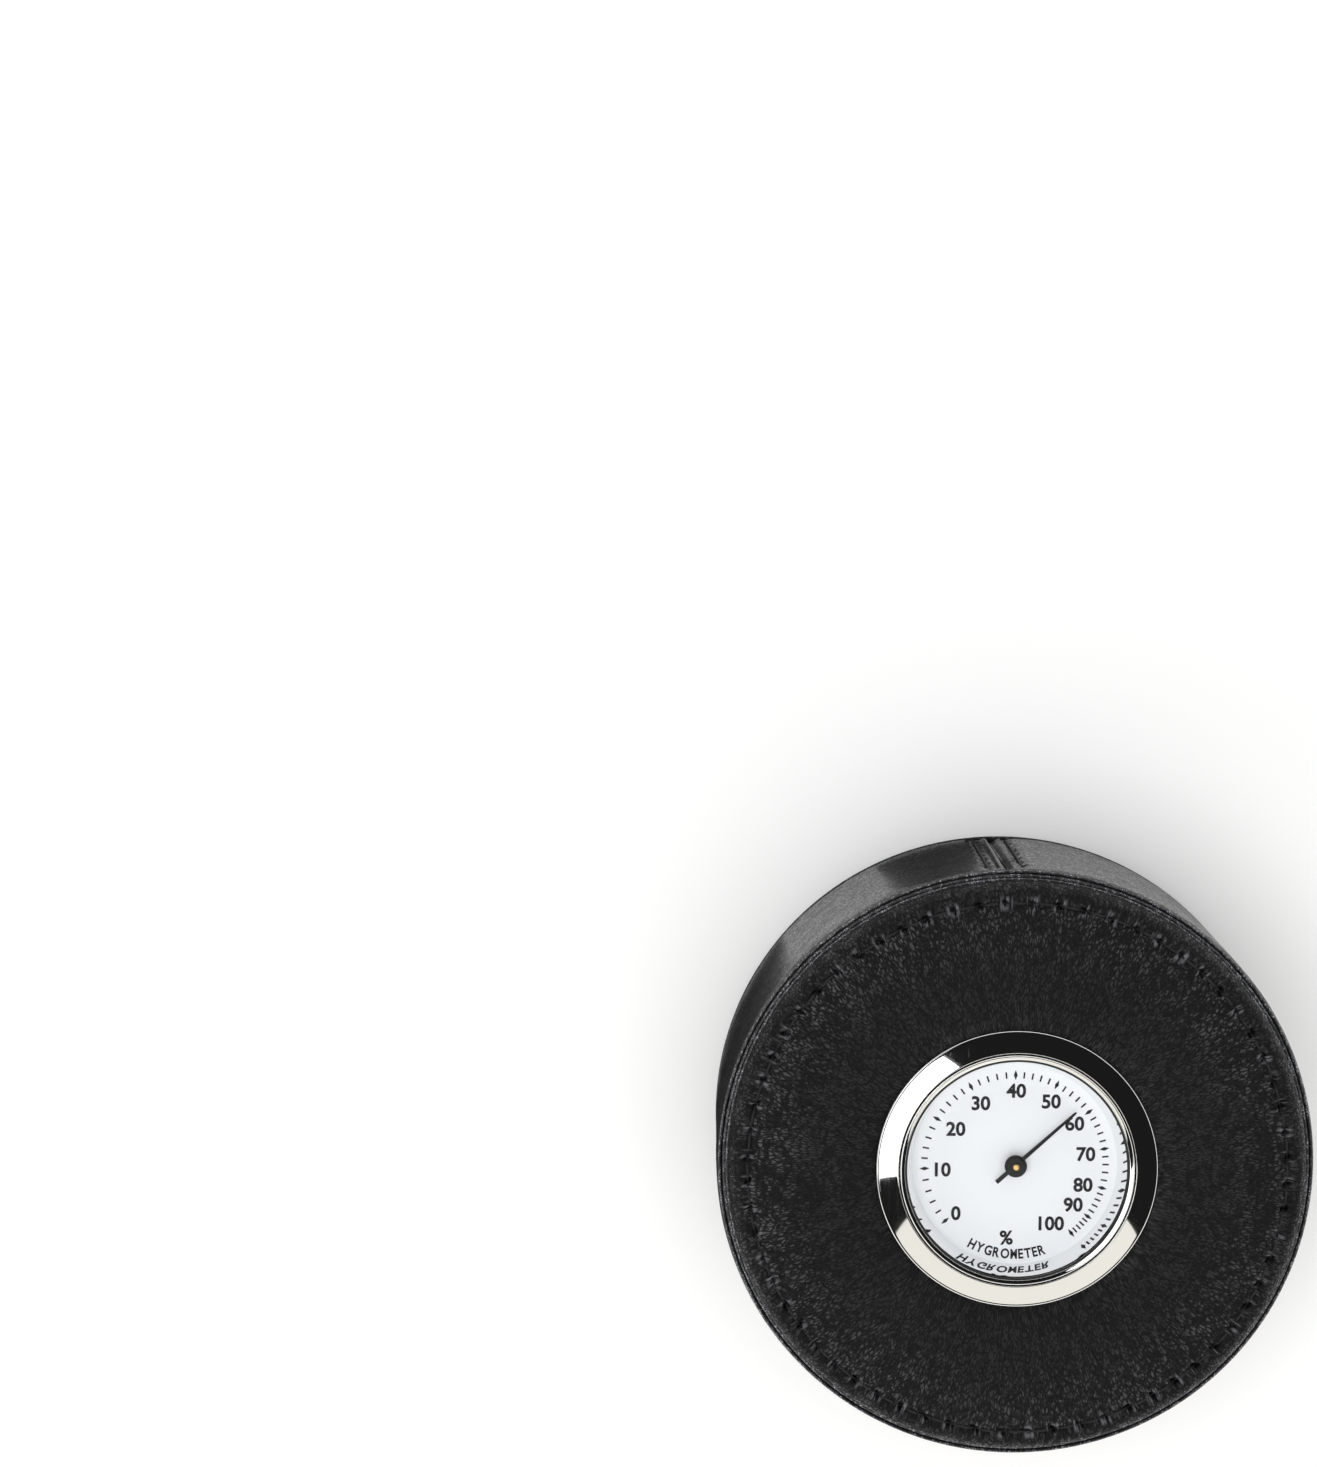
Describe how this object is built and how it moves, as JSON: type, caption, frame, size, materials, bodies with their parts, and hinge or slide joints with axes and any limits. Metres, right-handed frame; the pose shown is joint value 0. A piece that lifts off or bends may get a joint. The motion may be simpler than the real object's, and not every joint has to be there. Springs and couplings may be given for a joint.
{
  "type": "dial hygrometer in a travel case cap",
  "caption": "Round leather-covered cap that holds a dial hygrometer, with a white 0 to 100 percent dial, a chrome trim ring and a skirt that slides over a case's collar.",
  "frame": {"origin": "centre of the cap's open rim, in the plane of the rim", "axes": "+Z along the axis of the cap and of the pointer shaft, out of the dial's front; +Y towards the dial's 12 o'clock, +X towards its 3 o'clock"},
  "size_m": [0.094, 0.094, 0.0413],
  "materials": {
    "black_leather": "pebble grain, semi-matt",
    "black_lining": "short pile, matt",
    "black_thread": "waxed thread",
    "board": "grey-brown rigid board",
    "foam": "soft foam sheet",
    "cedar": "red-brown open grain, unfinished",
    "chrome": "polished",
    "nickel": "satin nickel plate",
    "brass": "turned, lightly aged",
    "fibre": "vulcanised fibre",
    "black_plastic": "moulded, satin",
    "black_rubber": "matt",
    "clear_glass": "flat and clear",
    "white_enamel": "cool white, satin",
    "black_ink": "printed",
    "black_enamel": "satin black",
    "gauze": "fine mesh",
    "coil_strip": "metal strip with a fibre coat"
  },
  "bodies": {
    "cap": {"rim_binding": "black_leather", "wall_tube": "board", "skirt_lining": "black_lining", "side_leather": "black_leather", "seam_stitching": "black_thread", "edge_welt": "black_leather", "face_leather": "black_leather", "face_stitching": "black_thread", "foam_pad": "foam", "top_board": "board", "cedar_ceiling": "cedar", "cedar_liner": "cedar", "trim_ring": "chrome", "nut_washer": "fibre", "ring_nut": "black_plastic"},
    "instrument": {"case_can": "nickel", "friction_ring": "black_rubber", "bezel": "chrome", "crystal_gasket": "black_rubber", "crystal": "clear_glass", "polished_wall": "chrome", "dial_plate": "white_enamel", "base_plate": "brass", "scale_marks": "black_ink", "front_bush": "brass", "movement_bridge": "nickel", "bridge_rivets": "brass", "rear_bush": "brass", "back_cover": "nickel", "vent_gauze": "gauze"},
    "calibrator": {"calibration_stud": "brass", "calibration_arm": "nickel", "anchor_post": "brass"},
    "pointer": {"pointer_shaft": "brass", "pointer_needle": "black_enamel", "pointer_hub": "black_enamel", "coil_collet": "brass", "humidity_coil": "coil_strip"}
  },
  "joints": [
    {"name": "instrument_slide", "type": "slide", "parent": "cap", "child": "instrument", "axis": [0, 0, 1], "range_m": [0, 0.012]},
    {"name": "calibrator_turn", "type": "hinge", "parent": "instrument", "child": "calibrator", "pos_m": [0, 0, 0.0305], "axis": [0, 0, 1], "range_deg": [-25, 25]},
    {"name": "pointer_turn", "type": "hinge", "parent": "calibrator", "child": "pointer", "pos_m": [0, 0, 0.034], "axis": [0, 0, 1], "range_deg": [-93, 178], "stiffness_Nm_per_rad": 0.00001, "deforming": ["humidity_coil"]}
  ]
}
